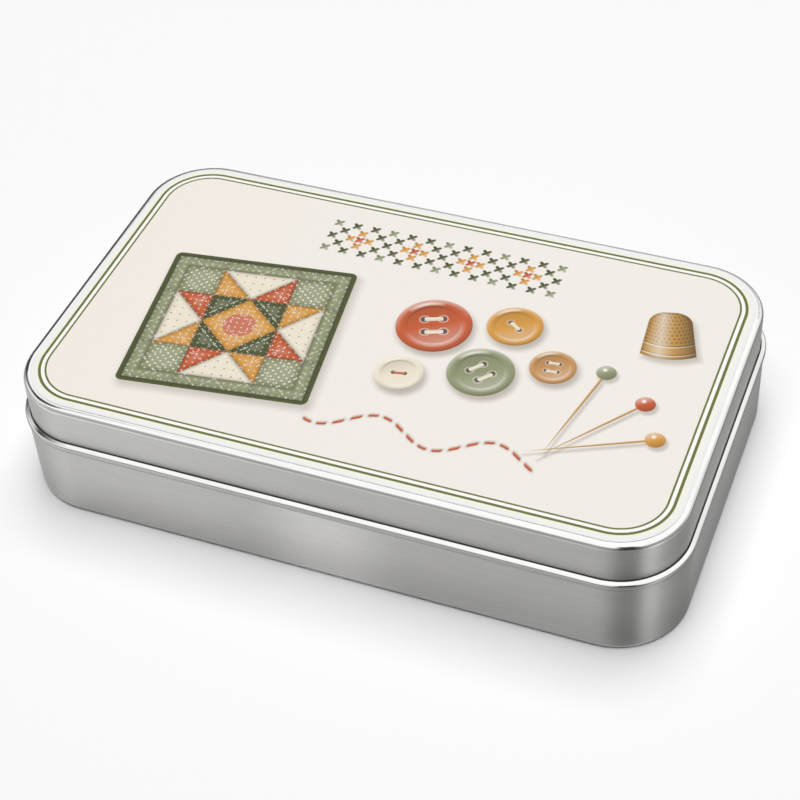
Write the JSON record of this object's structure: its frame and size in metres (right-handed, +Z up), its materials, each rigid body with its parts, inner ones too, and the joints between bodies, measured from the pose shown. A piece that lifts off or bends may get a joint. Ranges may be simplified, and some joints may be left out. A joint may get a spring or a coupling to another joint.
{
  "type": "sewing tin",
  "caption": "Shallow rectangular slip-lid tin with round corners, a pinched bead round the base under the lid and a printed label film on the lid.",
  "frame": {"origin": "centre of the foot, on the surface the tin stands on", "axes": "+X along the tin's length, +Y across it to the back, +Z up through the lid"},
  "size_m": [0.1606, 0.0966, 0.032],
  "materials": {
    "base_tinplate": "fine horizontal brushing, satin",
    "lid_tinplate": "fine horizontal brushing, satin, with a bright polished shoulder",
    "label_film": "matt cream print with a double green border line"
  },
  "bodies": {
    "base": {"base": "base_tinplate"},
    "lid": {"lid_shell": "lid_tinplate", "lid_label": "label_film"}
  },
  "joints": [
    {"name": "lid_lift", "type": "slide", "parent": "base", "child": "lid", "axis": [0, 0, 1], "range_m": [0, 0.04]}
  ]
}
